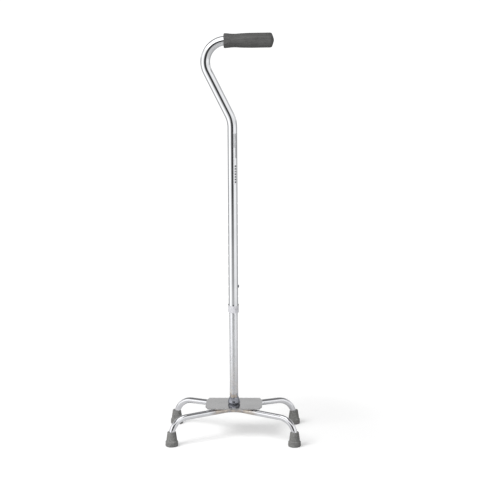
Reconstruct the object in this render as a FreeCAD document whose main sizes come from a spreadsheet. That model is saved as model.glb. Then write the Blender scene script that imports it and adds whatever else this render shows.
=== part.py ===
import FreeCAD, Part
import math
import os
import re

import Sketcher

# Quad walking cane: telescoping shaft with a cranked handle on a four-footed base.
# All lengths are millimetres. +Z is up, the shaft axis is the Z axis and the floor is z = 0.
# The handle points along +X and the long side of the base runs along X.

doc = FreeCAD.newDocument("quad_cane")
sheet = doc.addObject("Spreadsheet::Sheet", "Sizes")

SIZES = {
    # telescoping tubes
    "upper_tube_diameter": 23.6,
    "lower_tube_diameter": 20.6,
    "tube_wall": 1.25,
    "upper_tube_end": 317.7,
    "lower_tube_top": 403.8,
    # handle line of the upper tube
    "handle_height": 966.9,
    "handle_rise": 0.6,
    "handle_tube_reach": 90.0,
    "handle_bend_radius": 50.0,
    "crank_height": 777.6,
    "crank_angle": 26.5,
    "crank_bend_radius": 70.0,
    # height holes and snap button
    "hole_pitch": 25.4,
    "hole_count": 10.0,
    "hole_diameter": 8.0,
    "lowest_hole": 348.4,
    "button_height": 373.8,
    "button_diameter": 7.4,
    "button_tip": 14.1,
    "button_flange_diameter": 9.4,
    "button_flange_back": 6.1,
    "button_flange_thickness": 1.2,
    "spring_width": 6.0,
    "spring_strip": 0.5,
    "spring_drop": 45.0,
    "spring_back_reach": 8.3,
    # foam grip
    "grip_start": 19.5,
    "grip_end": 100.0,
    "grip_radius": 17.75,
    "grip_heel_radius": 17.6,
    "grip_heel_length": 7.0,
    "grip_waist_radius": 15.9,
    "grip_waist_from": 6.0,
    "grip_waist_to": 6.0,
    "grip_shoulder": 34.0,
    "grip_edge": 2.4,
    "grip_cone": 5.2,
    "plug_length": 16.0,
    "plug_lip": 1.6,
    # anti-rattle collar at the end of the upper tube
    "collar_bottom": 308.9,
    "collar_top": 326.1,
    "collar_radius": 12.8,
    "collar_lip": 3.2,
    "collar_edge": 0.4,
    "running_gap": 0.25,
    "flute_radius": 0.8,
    "flute_count": 16.0,
    "wear_ring_height": 4.2,
    "stop_pin_height": 328.2,
    "stop_pin_diameter": 3.2,
    "stop_pin_tip": 12.9,
    # blank label on the upper tube
    "label_bottom": 624.0,
    "label_top": 750.0,
    "label_sweep": 50.0,
    "label_turn": -80.0,
    "label_thickness": 0.12,
    # base plate and shaft socket
    "plate_length": 138.5,
    "plate_depth": 98.0,
    "plate_top": 79.7,
    "plate_thickness": 2.6,
    "plate_corner_long": 20.0,
    "plate_corner_short": 6.5,
    "plate_edge": 0.5,
    "boss_height": 16.7,
    "boss_foot_radius": 13.4,
    "boss_belly_radius": 15.5,
    "boss_belly_height": 4.2,
    "boss_shoulder_radius": 13.2,
    "boss_shoulder_height": 11.4,
    "boss_mouth_radius": 11.1,
    # leg tubes and rubber tips
    "leg_diameter": 14.3,
    "leg_wall": 1.5,
    "leg_foot_x": 148.0,
    "leg_foot_y": 96.0,
    "leg_corner_y": 12.0,
    "leg_drop": 5.0,
    "leg_centre_bend": 50.0,
    "front_knee_bend": 40.0,
    "rear_knee_bend": 47.0,
    "leg_end": 5.5,
    "tip_height": 35.3,
    "tip_top_radius": 10.4,
    "tip_step_radius": 13.2,
    "tip_skirt_top_radius": 15.1,
    "tip_skirt_radius": 15.5,
    "tip_skirt_height": 12.6,
    "tip_step_height": 14.2,
    "tip_tread_depth": 1.2,
    "washer_radius": 7.1,
    "washer_thickness": 1.5,
    "weld_radius": 2.4,
    "weld_start": 30.0,
    "weld_length": 24.0,
    "weld_offset": 5.8,
}

for row, (alias, value) in enumerate(SIZES.items(), start=1):
    sheet.set("A%d" % row, alias)
    sheet.set("B%d" % row, repr(value))
    sheet.setAlias("B%d" % row, alias)
doc.recompute()

NODES = []


def expression(text):
    """Point every plain word of a size formula at its cell of the sheet."""
    return re.sub(r"[a-z]\w+", lambda word: "Sizes." + word.group(0), text)


def size(text):
    """Value of a size formula in millimetres or degrees."""
    return float(sheet.evalExpression(expression(text)))


def bind(item, prop, text):
    """Tie one property to a size formula."""
    item.setExpression(prop, expression(text))


def node(item, name):
    """Name a finished sub-part; its file takes the same name."""
    item.Label = name
    NODES.append(item)
    return item


def new_body(name):
    return doc.addObject("PartDesign::Body", name)


def origin_item(body, role):
    """Plane or axis of the body's own origin."""
    return next(item for item in body.Origin.OriginFeatures if item.Role == role)


def outline(body, name, role, corners):
    """Closed sketch on an origin plane whose corners follow size formulas."""
    sketch = body.newObject("Sketcher::SketchObject", name)
    sketch.AttachmentSupport = [(origin_item(body, role), "")]
    sketch.MapMode = "FlatFace"
    places = [FreeCAD.Vector(size(across), size(up), 0) for across, up in corners]
    count = len(places)
    for index, place in enumerate(places):
        sketch.addGeometry(Part.LineSegment(place, places[(index + 1) % count]), False)
    for index in range(count):
        sketch.addConstraint(Sketcher.Constraint("Coincident", index, 2, (index + 1) % count, 1))
    for index, (across, up) in enumerate(corners):
        for kind, text, axis in (("DistanceX", across, -2), ("DistanceY", up, -1)):
            if size(text) == 0:
                sketch.addConstraint(Sketcher.Constraint("PointOnObject", index, 1, axis))
                continue
            number = sketch.addConstraint(
                Sketcher.Constraint(kind, -1, 1, index, 1, size(text)))
            bind(sketch, "Constraints[%d]" % number, text)
    return sketch


def circles(body, name, role, radii):
    """Sketch of circles about the body's own origin."""
    sketch = body.newObject("Sketcher::SketchObject", name)
    sketch.AttachmentSupport = [(origin_item(body, role), "")]
    sketch.MapMode = "FlatFace"
    for index, text in enumerate(radii):
        sketch.addGeometry(Part.Circle(FreeCAD.Vector(), FreeCAD.Vector(0, 0, 1), size(text)), False)
        sketch.addConstraint(Sketcher.Constraint("Coincident", index, 3, -1, 1))
        number = sketch.addConstraint(Sketcher.Constraint("Radius", index, size(text)))
        bind(sketch, "Constraints[%d]" % number, text)
    return sketch


def revolved(body, name, sketch, axis):
    """Full turn of a sketch about one of its own axes."""
    feature = body.newObject("PartDesign::Revolution", name)
    feature.Profile = sketch
    feature.ReferenceAxis = (sketch, [axis])
    feature.Angle = 360
    return feature


def turned_part(name, role, corners, axis="V_Axis"):
    """Body turned from one outline."""
    body = new_body(name)
    sketch = outline(body, name + "_outline", role, corners)
    revolved(body, name + "_turned", sketch, axis)
    return body


def place(item, across="0", along="0", up="0"):
    """Set the position of a sub-part by size formulas."""
    for letter, text in (("x", across), ("y", along), ("z", up)):
        if text != "0":
            bind(item, "Placement.Base." + letter, text)


def cut(name, base, tool):
    """First item less the second."""
    item = doc.addObject("Part::Cut", name)
    item.Base = base
    item.Tool = tool
    return item


def rounded_path(places, radii):
    """Wire through the places with a tangent arc of the given radius at each inner corner."""
    edges = []
    start = places[0]
    for before, corner, after, radius in zip(places, places[1:], places[2:], radii):
        inward = (before - corner).normalize()
        outward = (after - corner).normalize()
        half = inward.getAngle(outward) / 2
        reach = radius / math.tan(half)
        first = corner + inward * reach
        last = corner + outward * reach
        middle_line = (inward + outward).normalize()
        middle = corner + middle_line * (radius / math.sin(half) - radius)
        edges.append(Part.makeLine(start, first))
        edges.append(Part.Arc(first, middle, last).toShape())
        start = last
    edges.append(Part.makeLine(start, places[-1]))
    return Part.Wire(edges)


def rod(name, path, radius):
    """Solid round bar swept along a wire."""
    first = path.Edges[0]
    start = first.valueAt(first.FirstParameter)
    heading = first.tangentAt(first.FirstParameter)
    profile = Part.Wire([Part.makeCircle(radius, start, heading)])
    item = doc.addObject("Part::Feature", name)
    item.Shape = path.makePipeShell([profile], True, True)
    item.Placement = FreeCAD.Placement()
    return item


def pin(name, radius, start, length, turn, height):
    """Round pin lying level, from a distance off the shaft axis outwards, at a turn about Z."""
    item = doc.addObject("Part::Cylinder", name)
    bind(item, "Radius", radius)
    bind(item, "Height", length)
    angle = math.radians(turn)
    away = FreeCAD.Vector(math.cos(angle), math.sin(angle), 0)
    spot = away * size(start) + FreeCAD.Vector(0, 0, size(height))
    item.Placement = FreeCAD.Placement(spot, FreeCAD.Rotation(FreeCAD.Vector(0, 0, 1), away))
    return item


def handle_frame(along="0"):
    """Placement on the handle line, at a distance from the shaft axis, its X axis along the handle."""
    turn = FreeCAD.Rotation(FreeCAD.Vector(0, 1, 0), -size("handle_rise"))
    start = FreeCAD.Vector(0, 0, size("handle_height"))
    return FreeCAD.Placement(start + turn.multVec(FreeCAD.Vector(size(along), 0, 0)), turn)


def upper_path():
    """Centre line of the upper tube: shaft, crank bend, slant, handle bend, handle run."""
    slant = math.tan(math.radians(size("crank_angle")))
    rise = math.tan(math.radians(size("handle_rise")))
    # the slanted run and the handle line, both carried on, meet above the handle bend
    knee_x = -(size("handle_height") - size("crank_height")) / (1 / slant + rise)
    knee = FreeCAD.Vector(knee_x, 0, size("handle_height") + knee_x * rise)
    foot = FreeCAD.Vector(0, 0, size("upper_tube_end"))
    crank = FreeCAD.Vector(0, 0, size("crank_height"))
    tip = handle_frame("handle_tube_reach").Base
    return rounded_path([foot, crank, knee, tip],
                        [size("crank_bend_radius"), size("handle_bend_radius")])


def leg_path(side):
    """Centre line of one leg tube; side is -1 for the front and 1 for the rear."""
    across = size("leg_foot_x")
    along = side * size("leg_foot_y")
    crown = size("plate_top - plate_thickness - leg_diameter / 2")
    knee = crown - size("leg_drop")
    places = [
        FreeCAD.Vector(-across, along, size("leg_end")),
        FreeCAD.Vector(-across, along, knee),
        FreeCAD.Vector(0, side * size("leg_corner_y"), crown),
        FreeCAD.Vector(across, along, knee),
        FreeCAD.Vector(across, along, size("leg_end")),
    ]
    knee_bend = size("front_knee_bend" if side < 0 else "rear_knee_bend")
    bends = [knee_bend, size("leg_centre_bend"), knee_bend]
    return rounded_path(places, bends)


def make_upper_tube():
    """Cranked upper tube with two facing rows of height holes and seats for the stop pins."""
    path = upper_path()
    core = rod("upper_core", path, size("upper_tube_diameter / 2"))
    bore = rod("upper_bore", path, size("upper_tube_diameter / 2 - tube_wall"))
    shell = cut("upper_shell", core, bore)
    drills = []
    for index in range(int(size("hole_count"))):
        drill = doc.addObject("Part::Cylinder", "height_drill_%d" % index)
        bind(drill, "Radius", "hole_diameter / 2")
        bind(drill, "Height", "upper_tube_diameter * 2")
        drill.Placement = FreeCAD.Placement(
            FreeCAD.Vector(-size("upper_tube_diameter"), 0, 0),
            FreeCAD.Rotation(FreeCAD.Vector(0, 0, 1), FreeCAD.Vector(1, 0, 0)))
        bind(drill, "Placement.Base.z", "lowest_hole + hole_pitch * %d" % index)
        drills.append(drill)
    for index in range(4):
        drills.append(pin("pin_drill_%d" % index, "stop_pin_diameter / 2",
                          "upper_tube_diameter / 4", "upper_tube_diameter", 90 * index,
                          "stop_pin_height"))
    drilling = doc.addObject("Part::MultiFuse", "upper_drilling")
    drilling.Shapes = drills
    node(cut("upper_tube", shell, drilling), "upper_tube")
    return core


def make_grip(core):
    """Closed-end foam grip turned about the handle line, bored by the tube it is pushed on."""
    blank = turned_part("grip_blank", "XZ_Plane", [
        ("-grip_start", "0"),
        ("-grip_start", "grip_heel_radius - grip_edge"),
        ("-grip_start + grip_edge", "grip_heel_radius"),
        ("-grip_start + grip_heel_length", "grip_heel_radius"),
        ("-grip_waist_from", "grip_waist_radius"),
        ("grip_waist_to", "grip_waist_radius + 0.4"),
        ("grip_shoulder", "grip_radius"),
        ("grip_end - grip_cone - grip_edge", "grip_radius"),
        ("grip_end - grip_cone", "grip_radius - grip_edge"),
        ("grip_end", "grip_edge"),
        ("grip_end", "0"),
    ], "H_Axis")
    blank.Placement = handle_frame()
    plug_room = doc.addObject("Part::Cylinder", "plug_room")
    bind(plug_room, "Radius", "upper_tube_diameter / 2")
    bind(plug_room, "Height", "plug_lip")
    across = FreeCAD.Placement(FreeCAD.Vector(), FreeCAD.Rotation(FreeCAD.Vector(0, 1, 0), 90))
    plug_room.Placement = handle_frame("handle_tube_reach").multiply(across)
    filling = doc.addObject("Part::MultiFuse", "grip_filling")
    filling.Shapes = [core, plug_room]
    node(cut("handle_grip", blank, filling), "handle_grip")


def make_end_plug():
    """Plastic plug closing the handle end of the tube, lip against the cut edge."""
    body = turned_part("tube_end_plug", "XZ_Plane", [
        ("-plug_length", "0"),
        ("-plug_length", "upper_tube_diameter / 2 - tube_wall - 0.8"),
        ("-plug_length + 2", "upper_tube_diameter / 2 - tube_wall"),
        ("0", "upper_tube_diameter / 2 - tube_wall"),
        ("0", "upper_tube_diameter / 2"),
        ("plug_lip", "upper_tube_diameter / 2"),
        ("plug_lip", "0"),
    ], "H_Axis")
    body.Placement = handle_frame("handle_tube_reach")
    node(body, "tube_end_plug")


def make_label():
    """Blank wrap-round label on the shaft."""
    body = new_body("shaft_label")
    sketch = outline(body, "label_outline", "XZ_Plane", [
        ("upper_tube_diameter / 2", "label_bottom"),
        ("upper_tube_diameter / 2 + label_thickness", "label_bottom"),
        ("upper_tube_diameter / 2 + label_thickness", "label_top"),
        ("upper_tube_diameter / 2", "label_top"),
    ])
    wrap = revolved(body, "label_wrap", sketch, "V_Axis")
    bind(wrap, "Angle", "label_sweep")
    body.Placement.Rotation = FreeCAD.Rotation(FreeCAD.Vector(0, 0, 1), size("label_turn"))
    node(body, "shaft_label")


def make_stop_pins():
    """Four pins round the upper tube that keep the collar from riding up."""
    seat = "upper_tube_diameter / 2 - tube_wall + 0.1"
    pins = []
    for index in range(4):
        stud = turned_part("stop_pin_%d" % index, "XZ_Plane", [
            (seat, "0"),
            (seat, "stop_pin_diameter / 2"),
            ("stop_pin_tip - 0.5", "stop_pin_diameter / 2"),
            ("stop_pin_tip", "stop_pin_diameter / 4"),
            ("stop_pin_tip", "0"),
        ], "H_Axis")
        stud.Placement.Rotation = FreeCAD.Rotation(FreeCAD.Vector(0, 0, 1), 90 * index)
        place(stud, up="stop_pin_height")
        pins.append(stud)
    group = doc.addObject("Part::Compound", "collar_stop_pins")
    group.Links = pins
    node(group, "collar_stop_pins")


def make_collar():
    """Fluted nylon collar: sleeve over the upper tube with a lip round the lower tube."""
    body = turned_part("lock_collar", "XZ_Plane", [
        ("lower_tube_diameter / 2 + running_gap", "collar_bottom"),
        ("collar_radius - collar_edge", "collar_bottom"),
        ("collar_radius", "collar_bottom + collar_edge"),
        ("collar_radius", "collar_top - collar_edge"),
        ("collar_radius - collar_edge", "collar_top"),
        ("upper_tube_diameter / 2 + running_gap", "collar_top"),
        ("upper_tube_diameter / 2 + running_gap", "collar_bottom + collar_lip"),
        ("lower_tube_diameter / 2 + running_gap", "collar_bottom + collar_lip"),
    ])
    doc.recompute()
    flute = body.newObject("Sketcher::SketchObject", "flute_outline")
    flute.AttachmentSupport = [(origin_item(body, "XY_Plane"), "")]
    flute.MapMode = "FlatFace"
    reach = "collar_radius + flute_radius * 0.6"
    flute.addGeometry(Part.Circle(FreeCAD.Vector(size(reach), 0, 0), FreeCAD.Vector(0, 0, 1),
                                  size("flute_radius")), False)
    flute.addConstraint(Sketcher.Constraint("PointOnObject", 0, 3, -1))
    number = flute.addConstraint(Sketcher.Constraint("Radius", 0, size("flute_radius")))
    bind(flute, "Constraints[%d]" % number, "flute_radius")
    number = flute.addConstraint(Sketcher.Constraint("DistanceX", -1, 1, 0, 3, size(reach)))
    bind(flute, "Constraints[%d]" % number, reach)
    groove = body.newObject("PartDesign::Pocket", "flute")
    groove.Profile = flute
    groove.Type = 0
    bind(groove, "Length", "collar_top + 10")
    groove.Reversed = True
    pattern = body.newObject("PartDesign::PolarPattern", "flutes")
    pattern.Originals = [groove]
    pattern.Axis = (flute, ["N_Axis"])
    pattern.Angle = 360
    bind(pattern, "Occurrences", "flute_count")
    body.Tip = pattern
    node(body, "lock_collar")


def make_wear_ring():
    """Nylon ring held between the collar lip and the end of the upper tube."""
    bottom = "collar_bottom + collar_lip + running_gap"
    body = turned_part("wear_ring", "XZ_Plane", [
        ("lower_tube_diameter / 2 + 0.1", bottom),
        ("upper_tube_diameter / 2", bottom),
        ("upper_tube_diameter / 2", bottom + " + wear_ring_height"),
        ("lower_tube_diameter / 2 + 0.1", bottom + " + wear_ring_height"),
    ])
    node(body, "wear_ring")


def make_lower_tube():
    """Lower tube with one button hole, standing on the base plate."""
    body = new_body("lower_tube_blank")
    sketch = circles(body, "lower_tube_outline", "XY_Plane",
                     ["lower_tube_diameter / 2", "lower_tube_diameter / 2 - tube_wall"])
    pad = body.newObject("PartDesign::Pad", "lower_tube_pad")
    pad.Profile = sketch
    bind(pad, "Length", "lower_tube_top - plate_top")
    place(body, up="plate_top")
    drill = pin("button_drill", "hole_diameter / 2", "lower_tube_diameter / 4",
                "lower_tube_diameter", 0, "button_height")
    node(cut("lower_tube", body, drill), "lower_tube")


def make_tube_cap():
    """Glide cap pressed into the open top of the lower tube."""
    bore = "lower_tube_diameter / 2 - tube_wall"
    body = turned_part("lower_tube_cap", "XZ_Plane", [
        ("0", "lower_tube_top + 2"),
        ("lower_tube_diameter / 2 - 0.8", "lower_tube_top + 2"),
        ("lower_tube_diameter / 2", "lower_tube_top + 1.2"),
        ("lower_tube_diameter / 2", "lower_tube_top"),
        (bore, "lower_tube_top"),
        (bore, "lower_tube_top - 10"),
        (bore + " - 1.6", "lower_tube_top - 10"),
        (bore + " - 1.6", "lower_tube_top - 0.5"),
        ("0", "lower_tube_top - 0.5"),
    ])
    node(body, "lower_tube_cap")


def make_button():
    """Sprung snap button: domed stud with a flange that stays inside the lower tube."""
    body = turned_part("snap_button", "XZ_Plane", [
        ("button_flange_back", "0"),
        ("button_flange_back", "button_flange_diameter / 2"),
        ("button_flange_back + button_flange_thickness", "button_flange_diameter / 2"),
        ("button_flange_back + button_flange_thickness", "button_diameter / 2"),
        ("button_tip - 1.9", "button_diameter / 2"),
        ("button_tip - 0.8", "button_diameter / 2 - 0.6"),
        ("button_tip - 0.15", "button_diameter / 2 - 1.7"),
        ("button_tip", "button_diameter / 2 - 2.7"),
        ("button_tip", "0"),
    ], "H_Axis")
    place(body, up="button_height")
    node(body, "snap_button")


def make_spring():
    """Folded leaf spring that pushes the button outwards."""
    low = "button_height - spring_drop"
    back = "-spring_back_reach"
    front = "button_flange_back"
    body = new_body("button_spring")
    sketch = outline(body, "spring_outline", "XZ_Plane", [
        (back, "button_height + 8"),
        (back, low + " + 9"),
        ("-2.2", low),
        ("1.2", low),
        (front, "button_height - 7"),
        (front, "button_height + 7"),
        (front + " - spring_strip", "button_height + 7"),
        (front + " - spring_strip", "button_height - 7"),
        ("0.8", low + " + spring_strip"),
        ("-1.9", low + " + spring_strip"),
        (back + " + spring_strip", low + " + 9.2"),
        (back + " + spring_strip", "button_height + 8"),
    ])
    pad = body.newObject("PartDesign::Pad", "spring_strip_pad")
    pad.Profile = sketch
    pad.Midplane = True
    bind(pad, "Length", "spring_width")
    node(body, "button_spring")


def make_boss():
    """Domed socket that holds the foot of the lower tube on the plate."""
    body = turned_part("socket_boss", "XZ_Plane", [
        ("lower_tube_diameter / 2", "0"),
        ("boss_foot_radius", "0"),
        ("boss_belly_radius - 0.4", "boss_belly_height - 1.6"),
        ("boss_belly_radius", "boss_belly_height"),
        ("boss_belly_radius - 0.5", "boss_belly_height + 2.6"),
        ("boss_shoulder_radius + 0.9", "boss_shoulder_height - 2"),
        ("boss_shoulder_radius - 0.6", "boss_shoulder_height + 1.2"),
        ("boss_mouth_radius", "boss_height"),
        ("lower_tube_diameter / 2", "boss_height"),
    ])
    place(body, up="plate_top")
    node(body, "socket_boss")


def make_plate():
    """Flat steel plate with cut corners that ties the two leg tubes together."""
    body = new_body("base_plate")
    across = "plate_length / 2"
    along = "plate_depth / 2"
    inner_x = across + " - plate_corner_short"
    inner_y = along + " - plate_corner_long"
    corners = []
    for sign_x, sign_y, order in (("", "", 0), ("-", "", 1), ("-", "-", 0), ("", "-", 1)):
        pair = [
            ("%s(%s)" % (sign_x, across), "%s(%s)" % (sign_y, inner_y)),
            ("%s(%s)" % (sign_x, inner_x), "%s(%s)" % (sign_y, along)),
        ]
        corners += pair[::-1] if order else pair
    sketch = outline(body, "plate_outline", "XY_Plane", corners)
    pad = body.newObject("PartDesign::Pad", "plate_pad")
    pad.Profile = sketch
    bind(pad, "Length", "plate_thickness")
    doc.recompute()
    edge = body.newObject("PartDesign::Fillet", "plate_edge_round")
    edge.Base = (pad, ["Face%d" % (number + 1) for number, face in enumerate(pad.Shape.Faces)
                       if abs(face.normalAt(0, 0).z) > 0.9])
    bind(edge, "Radius", "plate_edge")
    place(body, up="plate_top - plate_thickness")
    node(body, "base_plate")


def make_leg(name, side):
    """One bent leg tube running from foot to foot."""
    path = leg_path(side)
    core = rod(name + "_core", path, size("leg_diameter / 2"))
    bore = rod(name + "_bore", path, size("leg_diameter / 2 - leg_wall"))
    node(cut(name, core, bore), name)
    return core


def make_tip(name, across, along, core):
    """Rubber tip with a stepped skirt and tread rings, bored by the leg it is pushed on."""
    blank = turned_part(name + "_blank", "XZ_Plane", [
        ("0", "tip_tread_depth"),
        ("4", "tip_tread_depth"),
        ("4", "0"),
        ("7", "0"),
        ("7", "tip_tread_depth"),
        ("9.4", "tip_tread_depth"),
        ("9.4", "0"),
        ("tip_skirt_radius - 2.2", "0"),
        ("tip_skirt_radius - 0.6", "0.8"),
        ("tip_skirt_radius", "2.6"),
        ("tip_skirt_top_radius", "tip_skirt_height - 0.8"),
        ("tip_skirt_top_radius - 0.8", "tip_skirt_height"),
        ("tip_step_radius", "tip_step_height"),
        ("tip_top_radius", "tip_height - 0.8"),
        ("tip_top_radius - 0.8", "tip_height"),
        ("0", "tip_height"),
    ])
    place(blank, across, along)
    seat = doc.addObject("Part::Cylinder", name + "_seat")
    bind(seat, "Radius", "washer_radius")
    bind(seat, "Height", "washer_thickness")
    place(seat, across, along, "leg_end - washer_thickness")
    filling = doc.addObject("Part::MultiFuse", name + "_filling")
    filling.Shapes = [core, seat]
    node(cut(name, blank, filling), name)


def make_washers(feet):
    """Steel washers under the leg ends, one inside each tip."""
    washers = []
    for name, across, along in feet:
        disc = doc.addObject("Part::Cylinder", name + "_washer")
        bind(disc, "Radius", "washer_radius")
        bind(disc, "Height", "washer_thickness")
        place(disc, across, along, "leg_end - washer_thickness")
        washers.append(disc)
    group = doc.addObject("Part::Compound", "tip_washers")
    group.Links = washers
    node(group, "tip_washers")


def make_leg_welds(cores):
    """Weld beads along both flanks of each leg tube where it runs out under the plate."""
    under = size("plate_top - plate_thickness")
    beads = []
    for side in (-1, 1):
        for end in (-1, 1):
            heading = FreeCAD.Vector(end * size("leg_foot_x"),
                                     side * size("leg_foot_y - leg_corner_y"), 0).normalize()
            flank = FreeCAD.Vector(-heading.y, heading.x, 0)
            corner = FreeCAD.Vector(0, side * size("leg_corner_y"), under - size("weld_radius / 2"))
            start = corner + heading * size("weld_start")
            for offset in (-size("weld_offset"), size("weld_offset")):
                beads.append(Part.makeCylinder(size("weld_radius"), size("weld_length"),
                                               start + flank * offset, heading))
    welds = beads[0].multiFuse(beads[1:])
    reach = size("plate_length")
    below = Part.makeBox(2 * reach, 2 * reach, under, FreeCAD.Vector(-reach, -reach, 0))
    welds = welds.common(below)
    for core in cores:
        welds = welds.cut(core.Shape)
    item = doc.addObject("Part::Feature", "leg_welds")
    item.Shape = welds
    item.Placement = FreeCAD.Placement()
    node(item, "leg_welds")


FEET = [
    ("tip_front_left", "-leg_foot_x", "-leg_foot_y"),
    ("tip_front_right", "leg_foot_x", "-leg_foot_y"),
    ("tip_rear_left", "-leg_foot_x", "leg_foot_y"),
    ("tip_rear_right", "leg_foot_x", "leg_foot_y"),
]

upper_core = make_upper_tube()
make_grip(upper_core)
make_end_plug()
make_label()
make_stop_pins()
make_collar()
make_wear_ring()
make_lower_tube()
make_tube_cap()
make_button()
make_spring()
make_boss()
make_plate()
front_core = make_leg("front_leg_tube", -1)
rear_core = make_leg("rear_leg_tube", 1)
doc.recompute()
for tip_name, tip_x, tip_y in FEET:
    make_tip(tip_name, tip_x, tip_y, front_core if "front" in tip_name else rear_core)
make_washers(FEET)
make_leg_welds([front_core, rear_core])
doc.recompute()

for item in doc.Objects:
    if "Invalid" in item.State or "Error" in item.State:
        raise RuntimeError("%s did not compute" % item.Name)

os.makedirs("parts", exist_ok=True)
for item in NODES:
    if item.Shape.isNull() or not item.Shape.isValid() or item.Shape.Volume <= 0:
        raise RuntimeError("%s has no sound shape" % item.Label)
    item.Shape.exportStep("parts/%s.step" % item.Label)
    print("%-18s %10.1f mm3  solids %d" % (item.Label, item.Shape.Volume, len(item.Shape.Solids)))
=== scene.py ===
import math

import bmesh
import bpy
from mathutils import Matrix, Vector, noise


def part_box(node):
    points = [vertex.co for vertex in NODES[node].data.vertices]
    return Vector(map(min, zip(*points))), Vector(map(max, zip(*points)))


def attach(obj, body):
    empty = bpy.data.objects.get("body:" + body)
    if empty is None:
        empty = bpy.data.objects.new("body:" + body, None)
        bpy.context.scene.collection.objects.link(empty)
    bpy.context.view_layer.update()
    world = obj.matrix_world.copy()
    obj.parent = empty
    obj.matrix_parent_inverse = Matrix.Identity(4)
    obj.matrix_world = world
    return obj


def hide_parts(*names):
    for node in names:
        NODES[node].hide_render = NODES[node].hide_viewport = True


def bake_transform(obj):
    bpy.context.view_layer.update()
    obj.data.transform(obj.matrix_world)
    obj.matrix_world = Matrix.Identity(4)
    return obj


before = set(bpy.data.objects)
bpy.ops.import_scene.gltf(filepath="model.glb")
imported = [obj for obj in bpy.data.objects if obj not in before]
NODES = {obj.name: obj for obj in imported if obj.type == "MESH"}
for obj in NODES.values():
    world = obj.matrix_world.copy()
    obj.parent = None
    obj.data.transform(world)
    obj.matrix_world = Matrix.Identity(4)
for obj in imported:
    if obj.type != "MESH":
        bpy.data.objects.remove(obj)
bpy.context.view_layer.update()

scene = bpy.context.scene
MILLIMETRE = 0.001

# ---------------------------------------------------------------- camera, floor and light

CAMERA_DISTANCE = 3.70
CAMERA_HEIGHT = 1.1316
CAMERA_SIDE = 0.0168
CAMERA_YAW = math.radians(1.5)
CAMERA_PITCH = math.radians(9.872)
CAMERA_ROLL = math.radians(-0.32)
CAMERA_LENS = 116.4
FLOOR_RADIUS = 0.9
FLOOR_GREY = 0.50
FLOOR_GLOW = 0.48
FLOOR_FAR_GLOW = 0.62
FLOOR_MIRROR_GLOW = 0.07
FLOOR_GLOW_FROM, FLOOR_GLOW_TO = 0.30, 0.60
CARD_WHITE = 1.25
CARD_WIDTH, CARD_DEPTH = 1.10, 0.96
CARD_PLACE = (-0.20, -0.38, 1.30)

# The studio, as seen from the cane. Azimuths go round from +Y by the left, so 180 is behind the camera;
# elevations are degrees above the horizon. Each list is a ramp of (angle, grey) or (angle, share).
WALLS = [
    (0, 1.0), (10, 1.0), (18, 0.44), (76, 0.40), (90, 1.25), (136, 1.15), (150, 0.75),
    (204, 0.75), (220, 0.9), (262, 0.9), (280, 0.45), (342, 0.45), (350, 1.0), (360, 1.0),
]
RIGHT_PANEL = [(0, 0), (200, 0), (213, 1), (262, 1), (280, 0), (360, 0)]
RIGHT_HEIGHTS = [(-30, 0.60), (-14, 0.75), (-11, 0.98), (-5, 1.05), (4, 0.85), (16, 1.0), (60, 1.0)]
BACKDROP_HEIGHTS = [(-30, 1.0), (6, 0.95), (14, 0.72), (21, 0.50), (32, 0.20), (60, 0.20)]
CEILING_SHARE = [(-30, 0), (29, 0), (48, 1), (60, 1)]
CEILING = 0.15
FRONT_BOX = [(0, 0), (138, 0), (152, 1), (208, 1), (222, 0), (360, 0)]
FRONT_HEIGHTS = [(-30, 0), (26, 0), (34, 1), (46, 1), (60, 0)]
FRONT = 1.1
ROOM = [(0, 0), (142, 0), (160, 1), (199, 1), (207, 0), (360, 0)]
ROOM_HEIGHTS = [(-30, 0.57), (-13, 0.56), (-8, 0.05), (22, 0.04), (30, 0.25)]
LOWEST, HIGHEST = -30, 60
# The backdrop fades in between two elevations, and between two shares of the direction that point at +Y.
BACKDROP_LOW, BACKDROP_HIGH = 3.0, 9.0
BACKDROP_SIDE, BACKDROP_BACK = 0.1, 0.35
BACKGROUND = 1.1


def make_camera():
    """Long-lens camera a little above and to the side of the front of the cane."""
    data = bpy.data.cameras.new("camera")
    data.lens = CAMERA_LENS
    data.clip_end = 100
    camera = bpy.data.objects.new("camera", data)
    scene.collection.objects.link(camera)
    turn = Matrix.Rotation(CAMERA_YAW, 3, "Z")
    camera.location = turn @ Vector((CAMERA_SIDE, -CAMERA_DISTANCE, CAMERA_HEIGHT))
    tilt = Matrix.Rotation(math.pi / 2 - CAMERA_PITCH, 3, "X")
    roll = Matrix.Rotation(CAMERA_ROLL, 3, "Z")
    camera.rotation_euler = (turn @ tilt @ roll).to_euler()
    scene.camera = camera


def material(name):
    """Empty node material with its output, and the tree."""
    made = bpy.data.materials.new(name)
    made.use_nodes = True
    tree = made.node_tree
    for item in list(tree.nodes):
        tree.nodes.remove(item)
    out = tree.nodes.new("ShaderNodeOutputMaterial")
    return made, tree, out


def add(tree, kind, **values):
    """One node with its settings and unlinked inputs."""
    item = tree.nodes.new(kind)
    for key, value in values.items():
        if hasattr(item, key):
            setattr(item, key, value)
        else:
            item.inputs[key.replace("_", " ")].default_value = value
    return item


def link(tree, source, target):
    """Join an output socket to an input socket."""
    tree.links.new(source, target)


def ramp(tree, source, stops):
    """Colour ramp from (position, grey or colour) stops."""
    item = tree.nodes.new("ShaderNodeValToRGB")
    while len(item.color_ramp.elements) < len(stops):
        item.color_ramp.elements.new(0.5)
    for element, (position, value) in zip(item.color_ramp.elements, stops):
        colour = value if hasattr(value, "__len__") else (value, value, value)
        element.position = position
        element.color = (*colour, 1.0)
    link(tree, source, item.inputs["Fac"])
    return item.outputs["Color"]


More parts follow.
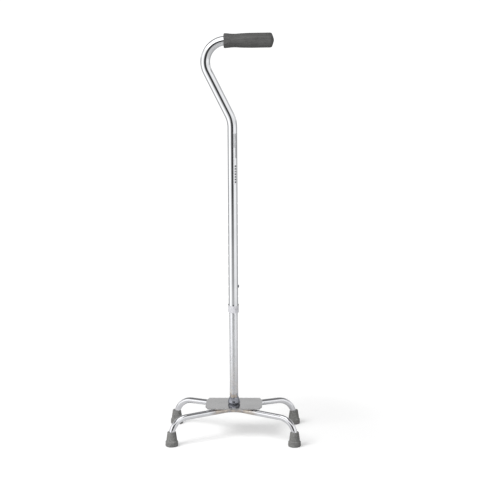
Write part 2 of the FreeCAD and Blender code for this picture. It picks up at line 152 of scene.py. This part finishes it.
def remap(tree, source, low, high, to_low, to_high, smooth=True):
    """Map one number range to another, clamped."""
    item = add(tree, "ShaderNodeMapRange")
    item.interpolation_type = "SMOOTHSTEP" if smooth else "LINEAR"
    for key, value in (("From Min", low), ("From Max", high), ("To Min", to_low), ("To Max", to_high)):
        item.inputs[key].default_value = value
    link(tree, source, item.inputs["Value"])
    return item.outputs["Result"]


def maths(tree, operation, first, second=None):
    """Math node on sockets or numbers."""
    item = add(tree, "ShaderNodeMath")
    item.operation = operation
    for index, value in enumerate((first, second)):
        if value is None:
            continue
        if hasattr(value, "is_linked"):
            link(tree, value, item.inputs[index])
        else:
            item.inputs[index].default_value = value
    return item.outputs[0]


def lerp(tree, low, high, share):
    """Blend two greys, sockets or numbers, by a share."""
    item = add(tree, "ShaderNodeMix")
    link(tree, share, item.inputs[0])
    for index, value in ((2, low), (3, high)):
        if hasattr(value, "is_linked"):
            link(tree, value, item.inputs[index])
        else:
            item.inputs[index].default_value = value
    return item.outputs[0]


def make_world():
    """Studio: a dim room behind the camera, white panels at the sides and overhead, grey past the paper."""
    world = bpy.data.worlds.new("studio")
    scene.world = world
    world.use_nodes = True
    tree = world.node_tree
    for item in list(tree.nodes):
        tree.nodes.remove(item)
    out = tree.nodes.new("ShaderNodeOutputWorld")
    where = tree.nodes.new("ShaderNodeTexCoord")
    parts = tree.nodes.new("ShaderNodeSeparateXYZ")
    link(tree, where.outputs["Generated"], parts.inputs[0])
    x, y, z = parts.outputs
    turn = maths(tree, "DIVIDE", maths(tree, "ARCTAN2", x, maths(tree, "MULTIPLY", y, -1.0)), math.pi)
    around = maths(tree, "ADD", maths(tree, "MULTIPLY", turn, 0.5), 0.5)
    height = maths(tree, "MULTIPLY", maths(tree, "ARCSINE", z), 180 / math.pi)
    up = remap(tree, height, LOWEST, HIGHEST, 0.0, 1.0, smooth=False)

    def by_azimuth(stops):
        return ramp(tree, around, [(angle / 360, value) for angle, value in stops])

    def by_height(stops):
        return ramp(tree, up, [((angle - LOWEST) / (HIGHEST - LOWEST), value) for angle, value in stops])

    grey = lerp(tree, by_azimuth(WALLS), by_height(RIGHT_HEIGHTS), by_azimuth(RIGHT_PANEL))
    grey = lerp(tree, grey, by_height(ROOM_HEIGHTS), by_azimuth(ROOM))
    grey = lerp(tree, grey, CEILING, by_height(CEILING_SHARE))
    raised = remap(tree, height, BACKDROP_LOW, BACKDROP_HIGH, 0.0, 1.0)
    behind = remap(tree, y, BACKDROP_SIDE, BACKDROP_BACK, 0.0, 1.0)
    grey = lerp(tree, grey, by_height(BACKDROP_HEIGHTS), maths(tree, "MULTIPLY", raised, behind))
    is_front = maths(tree, "MULTIPLY", by_azimuth(FRONT_BOX), by_height(FRONT_HEIGHTS))
    grey = lerp(tree, grey, FRONT, is_front)
    studio = add(tree, "ShaderNodeBackground")
    link(tree, grey, studio.inputs["Color"])
    studio.inputs["Strength"].default_value = 1.0
    seen = add(tree, "ShaderNodeBackground")
    seen.inputs["Color"].default_value = (1, 1, 1, 1)
    seen.inputs["Strength"].default_value = BACKGROUND
    rays = tree.nodes.new("ShaderNodeLightPath")
    mix = tree.nodes.new("ShaderNodeMixShader")
    link(tree, rays.outputs["Is Camera Ray"], mix.inputs[0])
    link(tree, studio.outputs[0], mix.inputs[1])
    link(tree, seen.outputs[0], mix.inputs[2])
    link(tree, mix.outputs[0], out.inputs["Surface"])


def make_floor():
    """Round floor whose seen and mirrored glow lifts it to the white of the background."""
    mesh = bpy.data.meshes.new("floor")
    build = bmesh.new()
    bmesh.ops.create_circle(build, cap_ends=True, radius=FLOOR_RADIUS, segments=96)
    build.to_mesh(mesh)
    build.free()
    floor = bpy.data.objects.new("floor", mesh)
    scene.collection.objects.link(floor)
    made, tree, out = material("floor_paper")
    paper = add(tree, "ShaderNodeBsdfPrincipled", Roughness=0.7)
    paper.inputs["Base Color"].default_value = (FLOOR_GREY, FLOOR_GREY, FLOOR_GREY, 1)
    paper.inputs["Specular IOR Level"].default_value = 0.1
    paper.inputs["Emission Color"].default_value = (1, 1, 1, 1)
    rays = tree.nodes.new("ShaderNodeLightPath")
    away = add(tree, "ShaderNodeVectorMath", operation="LENGTH")
    link(tree, object_place(tree), away.inputs[0])
    glow = remap(tree, away.outputs["Value"], FLOOR_GLOW_FROM, FLOOR_GLOW_TO, FLOOR_GLOW, FLOOR_FAR_GLOW)
    seen = maths(tree, "MULTIPLY", rays.outputs["Is Camera Ray"], glow)
    mirrored = maths(tree, "MULTIPLY", rays.outputs["Is Glossy Ray"], FLOOR_MIRROR_GLOW)
    link(tree, maths(tree, "ADD", seen, mirrored), paper.inputs["Emission Strength"])
    link(tree, paper.outputs[0], out.inputs["Surface"])
    mesh.materials.append(made)


def make_card():
    """White card close above the handle, seen only in the polished metal."""
    data = bpy.data.lights.new("handle_card", "AREA")
    data.shape = "RECTANGLE"
    data.size = CARD_WIDTH
    data.size_y = CARD_DEPTH
    data.energy = CARD_WHITE * math.pi * data.size * data.size_y
    card = bpy.data.objects.new("handle_card", data)
    scene.collection.objects.link(card)
    card.location = CARD_PLACE
    card.visible_diffuse = False


def make_lamp(name, place, aim, size, power):
    """Soft round area lamp that is not seen in the polished metal."""
    data = bpy.data.lights.new(name, "AREA")
    data.shape = "DISK"
    data.size = size
    data.energy = power
    lamp = bpy.data.objects.new(name, data)
    scene.collection.objects.link(lamp)
    lamp.location = place
    lamp.rotation_euler = (Vector(aim) - Vector(place)).to_track_quat("-Z", "Y").to_euler()
    lamp.visible_glossy = False
    return lamp


# ---------------------------------------------------------------- materials

BOSS_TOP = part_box("socket_boss")[1][2]
LOWER_TUBE_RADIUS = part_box("lower_tube")[1][1]
UPPER_TUBE_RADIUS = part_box("upper_tube")[1][1]
BORE_SHARE = 0.95
CRANK_START = 0.74
HEAT_REACH = 0.006
HEAT_HAZE_REACH = 0.110
HEAT_LEG_FROM, HEAT_LEG_TO = 0.052, 0.078

# Print on the label: spans are (from, to), round the shaft in degrees and up from its foot in metres.
LABEL_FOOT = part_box("shaft_label")[0][2]
BLOCK_TURN, BLOCK_HEIGHT = (-77.0, -57.0), (0.089, 0.123)
COLUMN_TURN, COLUMN_HEIGHT = (-53.0, -36.0), (0.064, 0.123)
BAR_TURN, BAR_HEIGHT = (-64.0, -43.0), (0.0025, 0.048)
RULE_PITCH, RULE_SHARE = 0.0026, (0.20, 0.80)
BAR_PITCH, BAR_SHARE = 0.0064, (0.16, 0.80)
BLOCK_INK, COLUMN_INK = 0.62, 0.72


def object_place(tree):
    """Position in the row frame, in metres."""
    return add(tree, "ShaderNodeTexCoord").outputs["Object"]


def noise_at(tree, place, scale, detail, stretch=None):
    """Noise value, optionally stretched along the axes."""
    source = place
    if stretch:
        mapping = add(tree, "ShaderNodeMapping")
        mapping.inputs["Scale"].default_value = stretch
        link(tree, place, mapping.inputs["Vector"])
        source = mapping.outputs[0]
    item = add(tree, "ShaderNodeTexNoise")
    item.inputs["Scale"].default_value = scale
    item.inputs["Detail"].default_value = detail
    link(tree, source, item.inputs["Vector"])
    return item.outputs["Fac"]


def bump(tree, height, strength, distance, normal=None):
    """Normal disturbed by a height, on top of another normal if there is one."""
    item = add(tree, "ShaderNodeBump")
    item.inputs["Strength"].default_value = strength
    item.inputs["Distance"].default_value = distance
    link(tree, height, item.inputs["Height"])
    if normal is not None:
        link(tree, normal, item.inputs["Normal"])
    return item.outputs["Normal"]


def weighted(tree, first, first_share, second):
    """Weighted mean of two values."""
    part = maths(tree, "MULTIPLY", first, first_share)
    rest = maths(tree, "MULTIPLY", second, 1 - first_share)
    return maths(tree, "ADD", part, rest)


def metal(name, tint, dark_tint, rough, spread, streak, scale, depth,
          heat=None, patch_scale=34.0, patch_stretch=None, ripple_pitch=None):
    """Metal with drawn streaks and hazy patches, and if asked for, heat marks of welding or bead ripples. On
    the socket boss the pale patches are painted highlights on dark steel.
    """
    made, tree, out = material(name)
    place = object_place(tree)
    shader = add(tree, "ShaderNodeBsdfPrincipled", Metallic=1.0)
    streaks = noise_at(tree, place, scale, 3.0, streak)
    cloud = noise_at(tree, place, patch_scale, 4.0, patch_stretch)
    colour = ramp(tree, cloud, [(0.30, dark_tint), (0.62, tint)])
    if heat:
        colour = blend_colour(tree, colour, heat_tint(tree, place), heat(tree, place))
    link(tree, colour, shader.inputs["Base Color"])
    haze = remap(tree, weighted(tree, streaks, 0.6, cloud), 0.3, 0.7, rough - spread, rough + spread)
    link(tree, haze, shader.inputs["Roughness"])
    normal = bump(tree, streaks, depth, 0.0002)
    if ripple_pitch:
        normal = bump(tree, bead_ripple(tree, place, ripple_pitch), 1.0, 0.0004, normal)
    link(tree, normal, shader.inputs["Normal"])
    link(tree, shader.outputs[0], out.inputs["Surface"])
    return made


def bead_ripple(tree, place, pitch):
    """Overlapping crescents of a weld bead laid outwards from the shaft."""
    flat = add(tree, "ShaderNodeMapping")
    flat.inputs["Scale"].default_value = (1, 1, 0)
    link(tree, place, flat.inputs["Vector"])
    length = add(tree, "ShaderNodeVectorMath")
    length.operation = "LENGTH"
    link(tree, flat.outputs[0], length.inputs[0])
    uneven = maths(tree, "MULTIPLY", noise_at(tree, place, 300.0, 2.0), 0.0012)
    along = maths(tree, "DIVIDE", maths(tree, "ADD", length.outputs["Value"], uneven), pitch)
    return maths(tree, "ABSOLUTE", maths(tree, "SINE", maths(tree, "MULTIPLY", along, math.pi)))


def blend_colour(tree, first, second, share):
    """Mix two colours by a share."""
    item = add(tree, "ShaderNodeMix")
    item.data_type = "RGBA"
    link(tree, share, item.inputs[0])
    for socket, value in ((item.inputs[6], first), (item.inputs[7], second)):
        if hasattr(value, "is_linked"):
            link(tree, value, socket)
        else:
            socket.default_value = (*value, 1)
    return item.outputs[2]


def heat_tint(tree, place):
    """Straw, brown and a little blue of steel heated by welding."""
    return ramp(tree, noise_at(tree, place, 70.0, 3.0),
                [(0.34, (0.30, 0.33, 0.40)), (0.48, (0.42, 0.34, 0.27)), (0.66, (0.66, 0.56, 0.44))])


def heat_above_boss(tree, place):
    """Browning of the lower tube just above the socket boss, with a fainter haze higher up."""
    parts = add(tree, "ShaderNodeSeparateXYZ")
    link(tree, place, parts.inputs[0])
    uneven = maths(tree, "MULTIPLY", noise_at(tree, place, 190.0, 2.0, (1, 1, 0.15)), 0.024)
    level = maths(tree, "SUBTRACT", parts.outputs[2], uneven)
    strong = remap(tree, level, BOSS_TOP - HEAT_REACH, BOSS_TOP + HEAT_REACH, 0.75, 0.0)
    faint = remap(tree, level, BOSS_TOP, BOSS_TOP + HEAT_HAZE_REACH, 0.28, 0.0)
    return maths(tree, "MAXIMUM", strong, faint)


def heat_under_plate(tree, place):
    """Browning of the leg tubes round the weld beads."""
    parts = add(tree, "ShaderNodeSeparateXYZ")
    link(tree, place, parts.inputs[0])
    along = maths(tree, "ABSOLUTE", parts.outputs[0])
    uneven = maths(tree, "MULTIPLY", noise_at(tree, place, 60.0, 2.0), 0.03)
    return remap(tree, maths(tree, "ADD", along, uneven), HEAT_LEG_FROM, HEAT_LEG_TO, 0.70, 0.0)


def rubber(name, tint, dark_tint, grain_scale, grain_depth, speckle):
    """Moulded rubber or foam: fine grain, dusty patches, and speckles stretched to streaks if asked for."""
    made, tree, out = material(name)
    place = object_place(tree)
    shader = add(tree, "ShaderNodeBsdfPrincipled")
    shader.inputs["Specular IOR Level"].default_value = 0.35
    grain = noise_at(tree, place, grain_scale, 2.0)
    patches = noise_at(tree, place, 60.0, 5.0)
    dust = weighted(tree, patches, 0.30, noise_at(tree, place, 620.0, 2.0, speckle))
    link(tree, ramp(tree, dust, [(0.32, dark_tint), (0.68, tint)]), shader.inputs["Base Color"])
    link(tree, remap(tree, dust, 0.3, 0.7, 0.55, 0.78), shader.inputs["Roughness"])
    link(tree, bump(tree, grain, grain_depth, 0.0004), shader.inputs["Normal"])
    link(tree, shader.outputs[0], out.inputs["Surface"])
    return made


def plastic(name, tint, dark_tint, rough):
    """Moulded nylon or plastic with faint flow marks."""
    made, tree, out = material(name)
    place = object_place(tree)
    shader = add(tree, "ShaderNodeBsdfPrincipled")
    cloud = noise_at(tree, place, 120.0, 4.0)
    link(tree, ramp(tree, cloud, [(0.3, dark_tint), (0.7, tint)]), shader.inputs["Base Color"])
    link(tree, remap(tree, cloud, 0.3, 0.7, rough - 0.06, rough + 0.08), shader.inputs["Roughness"])
    link(tree, bump(tree, noise_at(tree, place, 900.0, 2.0), 0.15, 0.0002), shader.inputs["Normal"])
    link(tree, shader.outputs[0], out.inputs["Surface"])
    return made


def label_print(tree, place):
    """Share of ink on the label: a ruled block, a column beside it and a row of plain bars lower down."""
    parts = add(tree, "ShaderNodeSeparateXYZ")
    link(tree, place, parts.inputs[0])
    across, depth, height = parts.outputs
    turn = maths(tree, "MULTIPLY", maths(tree, "ARCTAN2", depth, across), 180 / math.pi)

    def inside(source, span, soft):
        low, high = span
        rise = remap(tree, source, low - soft, low + soft, 0.0, 1.0)
        fall = remap(tree, source, high - soft, high + soft, 1.0, 0.0)
        return maths(tree, "MULTIPLY", rise, fall)

    def panel(turn_span, height_span, turn_soft, height_soft):
        low, high = height_span
        level = inside(height, (LABEL_FOOT + low, LABEL_FOOT + high), height_soft)
        return maths(tree, "MULTIPLY", inside(turn, turn_span, turn_soft), level)

    def repeated(pitch, share, soft):
        return inside(maths(tree, "FRACT", maths(tree, "MULTIPLY", height, 1 / pitch)), share, soft)

    block = maths(tree, "MULTIPLY", panel(BLOCK_TURN, BLOCK_HEIGHT, 1.0, 0.0003),
                  repeated(RULE_PITCH, RULE_SHARE, 0.10))
    column = panel(COLUMN_TURN, COLUMN_HEIGHT, 1.0, 0.0003)
    bars = maths(tree, "MULTIPLY", panel(BAR_TURN, BAR_HEIGHT, 1.5, 0.0005),
                 repeated(BAR_PITCH, BAR_SHARE, 0.04))
    shade = maths(tree, "MAXIMUM", maths(tree, "MULTIPLY", block, BLOCK_INK),
                  maths(tree, "MULTIPLY", column, COLUMN_INK))
    wear = remap(tree, noise_at(tree, place, 260.0, 4.0), 0.34, 0.46, 0.70, 1.0)
    return maths(tree, "MULTIPLY", maths(tree, "MAXIMUM", shade, bars), wear)


def printed_film(name):
    """Silvery film with dark print that holds no lettering."""
    made, tree, out = material(name)
    place = object_place(tree)
    ink = add(tree, "ShaderNodeBsdfPrincipled", Roughness=0.45)
    ink_tone = ramp(tree, noise_at(tree, place, 300.0, 3.0),
                    [(0.3, (0.06, 0.06, 0.065)), (0.7, (0.11, 0.11, 0.12))])
    link(tree, ink_tone, ink.inputs["Base Color"])
    film = add(tree, "ShaderNodeBsdfPrincipled", Metallic=1.0)
    film_tone = ramp(tree, noise_at(tree, place, 160.0, 3.0),
                     [(0.3, (0.78, 0.79, 0.81)), (0.7, (0.85, 0.86, 0.88))])
    link(tree, film_tone, film.inputs["Base Color"])
    film_haze = remap(tree, noise_at(tree, place, 500.0, 2.0), 0.3, 0.7, 0.14, 0.26)
    link(tree, film_haze, film.inputs["Roughness"])
    link(tree, bump(tree, noise_at(tree, place, 700.0, 2.0), 0.05, 0.0001), film.inputs["Normal"])
    mix = tree.nodes.new("ShaderNodeMixShader")
    link(tree, label_print(tree, place), mix.inputs[0])
    link(tree, film.outputs[0], mix.inputs[1])
    link(tree, ink.outputs[0], mix.inputs[2])
    link(tree, mix.outputs[0], out.inputs["Surface"])
    return made


def dress(name, made):
    """Give a CAD node its material."""
    mesh = NODES[name].data
    mesh.materials.clear()
    mesh.materials.append(made)
    for face in mesh.polygons:
        face.material_index = 0


def dress_bore(name, made, outer):
    """Give the inside of the upright part of a tube of a known outer radius a darker, rougher metal than its
    outside.
    """
    mesh = NODES[name].data
    mesh.materials.append(made)
    for face in mesh.polygons:
        if face.center.z < CRANK_START and face.center.xy.length < outer * BORE_SHARE:
            face.material_index = 1


# ---------------------------------------------------------------- foam grip

HANDLE_RISE = math.radians(0.6)
HANDLE_HEIGHT = 0.9669

# Millimetres: distance along the handle from the shaft axis, and radius.
GRIP_PROFILE = [
    (-19.5, 12.0), (-19.5, 14.6), (-19.2, 16.3), (-18.2, 17.3), (-16.6, 17.65), (-14.0, 17.6),
    (-11.4, 17.4), (-8.2, 17.05), (-4.0, 16.55), (1.2, 16.3), (6.0, 16.25), (11.0, 16.35), (15.5, 16.6),
    (20.1, 16.95), (25.0, 17.25), (30.0, 17.45), (39.0, 17.65), (50.0, 17.75), (78.0, 17.75), (89.0, 17.7),
    (91.8, 17.5), (93.6, 16.9), (95.0, 15.6), (96.2, 13.2), (97.4, 9.8), (98.6, 6.0), (99.6, 2.8),
    (99.9, 0.0),
]
GRIP_BORE = [(91.8, 0.0), (91.8, 11.9), (40.0, 11.9), (-10.0, 11.9)]
GRIP_SKIN = 12.0
GRIP_FLARE_END, GRIP_DOME_START = -17.0, 95.0
RIB_DEPTH = 0.16
GRIP_RIBS = 40
GRIP_TURNS = 320
GRIP_STEP = 0.6


def smooth_profile(points, step):
    """Evenly stepped samples of a smooth curve through profile points."""
    samples = []
    for index in range(len(points) - 1):
        p0 = Vector(points[max(index - 1, 0)])
        p1, p2 = Vector(points[index]), Vector(points[index + 1])
        p3 = Vector(points[min(index + 2, len(points) - 1)])
        count = max(1, round((p2 - p1).length / step))
        for number in range(count):
            t = number / count
            samples.append(0.5 * ((2 * p1) + (p2 - p0) * t + (2 * p0 - 5 * p1 + 4 * p2 - p3) * t * t
                                  + (3 * p1 - p0 - 3 * p2 + p3) * t * t * t))
    samples.append(Vector(points[-1]))
    return samples


def lathe(name, rings, turns, offset):
    """Closed surface turned about local X from (along, radius) rings; offset says what to add to a radius."""
    build = bmesh.new()
    loops = []
    for along, radius in rings:
        if radius < 1e-6:
            loops.append([build.verts.new((along * MILLIMETRE, 0, 0))])
            continue
        loop = []
        for number in range(turns):
            angle = 2 * math.pi * number / turns
            reach = radius + offset(along, radius, angle)
            spot = Vector((along, math.cos(angle) * reach, math.sin(angle) * reach))
            loop.append(build.verts.new(spot * MILLIMETRE))
        loops.append(loop)
    for first, second in zip(loops, loops[1:]):
        for number in range(turns):
            after = (number + 1) % turns
            if len(first) == 1:
                build.faces.new((first[0], second[after], second[number]))
            elif len(second) == 1:
                build.faces.new((first[number], first[after], second[0]))
            else:
                build.faces.new((first[number], first[after], second[after], second[number]))
    bmesh.ops.recalc_face_normals(build, faces=build.faces)
    mesh = bpy.data.meshes.new(name)
    build.to_mesh(mesh)
    build.free()
    mesh.shade_smooth()
    made = bpy.data.objects.new(name, mesh)
    scene.collection.objects.link(made)
    return made


def grip_offset(along, radius, angle):
    """Lengthwise ribs of the foam and its slight unevenness, in millimetres."""
    if radius < GRIP_SKIN:
        return 0.0
    heel_fade = min(1.0, max(0.0, (along - GRIP_FLARE_END) / 3.0))
    dome_fade = min(1.0, max(0.0, (GRIP_DOME_START - along) / 2.0))
    rib = -RIB_DEPTH * heel_fade * dome_fade * (0.5 - 0.5 * math.cos(GRIP_RIBS * angle))
    soft = Vector((along * 0.05, math.cos(angle) * 0.9, math.sin(angle) * 0.9))
    grain = Vector((along * 0.5, math.cos(angle) * 9, math.sin(angle) * 9))
    return rib + 0.16 * noise.noise(soft) + 0.05 * noise.noise(grain)


def make_grip():
    """Foam grip on the handle line, bored for the tube."""
    outer = [tuple(sample) for sample in smooth_profile(GRIP_PROFILE, GRIP_STEP)]
    grip = lathe("foam_grip", GRIP_BORE + outer, GRIP_TURNS, grip_offset)
    grip.matrix_world = Matrix.Translation((0, 0, HANDLE_HEIGHT)) @ Matrix.Rotation(-HANDLE_RISE, 4, "Y")
    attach(grip, "handle")
    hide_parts("handle_grip")
    return grip


# ---------------------------------------------------------------- leaf spring behind the button

# Millimetres: middle line of the folded strip in the XZ plane, down the back blade, round the fold and up the
# front blade, inside the box of the CAD spring.
SPRING_LOW, SPRING_HIGH = (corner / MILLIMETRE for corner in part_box("button_spring"))
SPRING_FOOT = SPRING_LOW.z + 0.3
SPRING_LINE = [
    (SPRING_LOW.x + 0.25, SPRING_HIGH.z - 0.1), (SPRING_LOW.x + 0.25, SPRING_LOW.z + 9.2),
    (-2.0, SPRING_FOOT), (1.0, SPRING_FOOT),
    (SPRING_HIGH.x - 0.3, SPRING_HIGH.z - 15.0), (SPRING_HIGH.x - 0.3, SPRING_HIGH.z - 1.1),
]
CORNER_STEPS = 6
SPRING_WIDTH = 6.0
SPRING_THICKNESS = 0.5
SPRING_BEND = 2.4
SPRING_EDGE = 0.12


def rounded_line(points, reach):
    """Points along a line with its corners rounded; reach is how far a rounding starts from its corner."""
    line = [Vector(points[0])]
    for before, corner, after in zip(points, points[1:], points[2:]):
        corner = Vector(corner)
        arrive = Vector(before) - corner
        leave = Vector(after) - corner
        size = min(reach, arrive.length * 0.45, leave.length * 0.45)
        first = corner + arrive.normalized() * size
        last = corner + leave.normalized() * size
        for number in range(CORNER_STEPS + 1):
            t = number / CORNER_STEPS
            line.append(first * (1 - t) ** 2 + corner * 2 * t * (1 - t) + last * t * t)
    line.append(Vector(points[-1]))
    return line


def make_spring():
    """Folded strip with rounded long edges, in place of the CAD spring."""
    line = rounded_line(SPRING_LINE, SPRING_BEND)
    across, thick = SPRING_WIDTH / 2, SPRING_THICKNESS / 2
    section = [
        (-across, thick - SPRING_EDGE), (-across + SPRING_EDGE, thick), (across - SPRING_EDGE, thick),
        (across, thick - SPRING_EDGE), (across, SPRING_EDGE - thick), (across - SPRING_EDGE, -thick),
        (-across + SPRING_EDGE, -thick), (-across, SPRING_EDGE - thick),
    ]
    build = bmesh.new()
    loops = []
    for index, point in enumerate(line):
        heading = (line[min(index + 1, len(line) - 1)] - line[max(index - 1, 0)]).normalized()
        side = Vector((heading.y, -heading.x))
        loop = []
        for along_width, along_side in section:
            spot = point + side * along_side
            loop.append(build.verts.new(Vector((spot.x, along_width, spot.y)) * MILLIMETRE))
        loops.append(loop)
    for first, second in zip(loops, loops[1:]):
        for number in range(len(section)):
            after = (number + 1) % len(section)
            build.faces.new((first[number], first[after], second[after], second[number]))
    build.faces.new(loops[0])
    build.faces.new(loops[-1][::-1])
    bmesh.ops.recalc_face_normals(build, faces=build.faces)
    mesh = bpy.data.meshes.new("leaf_spring")
    build.to_mesh(mesh)
    build.free()
    spring = bpy.data.objects.new("leaf_spring", mesh)
    scene.collection.objects.link(spring)
    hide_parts("button_spring")
    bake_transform(spring)
    return spring


# ---------------------------------------------------------------- scene

make_camera()
make_world()
make_floor()
make_card()
make_lamp("top_lamp", place=(-1.9, -1.7, 2.8), aim=(0, 0, 0.2), size=2.0, power=145)
make_lamp("fill_lamp", place=(1.1, -1.7, -0.30), aim=(0, 0, 0.95), size=0.9, power=26)
scene.view_settings.view_transform = "Standard"

chrome = metal("chrome", (0.86, 0.87, 0.89), (0.80, 0.81, 0.83), rough=0.07, spread=0.03,
               streak=(1, 1, 0.02), scale=500.0, depth=0.05)
leg_chrome = metal("leg_chrome", (0.90, 0.90, 0.93), (0.83, 0.84, 0.87), rough=0.07, spread=0.05,
                   streak=(1, 1, 1), scale=200.0, depth=0.05, heat=heat_under_plate)
satin = metal("satin_tube", (0.91, 0.92, 0.95), (0.85, 0.86, 0.89), rough=0.25, spread=0.04,
              streak=(1, 1, 0.02), scale=600.0, depth=0.06, heat=heat_above_boss)
bore_metal = metal("bore_metal", (0.42, 0.42, 0.43), (0.30, 0.30, 0.31), rough=0.50, spread=0.10,
                   streak=(1, 1, 0.1), scale=400.0, depth=0.20)
zinc = metal("zinc", (0.60, 0.61, 0.63), (0.50, 0.51, 0.53), rough=0.34, spread=0.08,
             streak=(1, 1, 1), scale=300.0, depth=0.10)
plate_steel = metal("plate_steel", (0.58, 0.58, 0.585), (0.51, 0.51, 0.515), rough=0.15, spread=0.05,
                    streak=(1, 0.05, 1), scale=700.0, depth=0.10)
dark_steel = metal("dark_steel", (0.33, 0.34, 0.375), (0.19, 0.198, 0.22), rough=0.27, spread=0.07,
                   streak=(1, 1, 1), scale=180.0, depth=0.14)
black_steel = metal("black_steel", (0.06, 0.06, 0.07), (0.04, 0.04, 0.05), rough=0.35, spread=0.06,
                    streak=(1, 1, 1), scale=180.0, depth=0.10)
# Socket boss: dark steel, and the pale blue tint of its tall stretched patches is painted blue-white
# highlight streaks.
boss_steel_and_highlights = metal("boss_steel_and_highlights", (0.46, 0.475, 0.53), (0.13, 0.13, 0.145), rough=0.27, spread=0.07,
                   streak=(1, 1, 0.3), scale=260.0, depth=0.25,
                   patch_scale=150.0, patch_stretch=(1, 1, 0.3))
weld = metal("weld_steel", (0.48, 0.44, 0.40), (0.36, 0.32, 0.29), rough=0.42, spread=0.10,
             streak=(1, 1, 1), scale=200.0, depth=0.30, ripple_pitch=0.0016)
tip_rubber = rubber("tip_rubber", (0.240, 0.239, 0.233), (0.112, 0.112, 0.109),
                    grain_scale=1800.0, grain_depth=0.35, speckle=(0.6, 0.6, 0.6))
foam = rubber("grip_foam", (0.081, 0.0805, 0.0795), (0.038, 0.0378, 0.0374),
              grain_scale=1400.0, grain_depth=0.6, speckle=(0.03, 1, 1))
nylon = plastic("nylon", (0.52, 0.52, 0.545), (0.42, 0.42, 0.445), rough=0.38)
black_plastic = plastic("black_plastic", (0.05, 0.05, 0.05), (0.04, 0.04, 0.04), rough=0.5)
label_film = printed_film("label_film")

DRESS = {
    "upper_tube": chrome, "front_leg_tube": leg_chrome, "rear_leg_tube": leg_chrome,
    "lower_tube": satin, "base_plate": plate_steel, "socket_boss": boss_steel_and_highlights, "leg_welds": weld,
    "tip_front_left": tip_rubber, "tip_front_right": tip_rubber, "tip_rear_left": tip_rubber,
    "tip_rear_right": tip_rubber, "lock_collar": nylon, "wear_ring": nylon,
    "tube_end_plug": black_plastic, "lower_tube_cap": black_plastic, "shaft_label": label_film,
    "snap_button": dark_steel, "button_spring": zinc, "collar_stop_pins": black_steel,
    "tip_washers": zinc,
}
for node_name, made in DRESS.items():
    dress(node_name, made)
dress_bore("lower_tube", bore_metal, LOWER_TUBE_RADIUS)
dress_bore("upper_tube", bore_metal, UPPER_TUBE_RADIUS)
make_grip().data.materials.append(foam)
make_spring().data.materials.append(zinc)
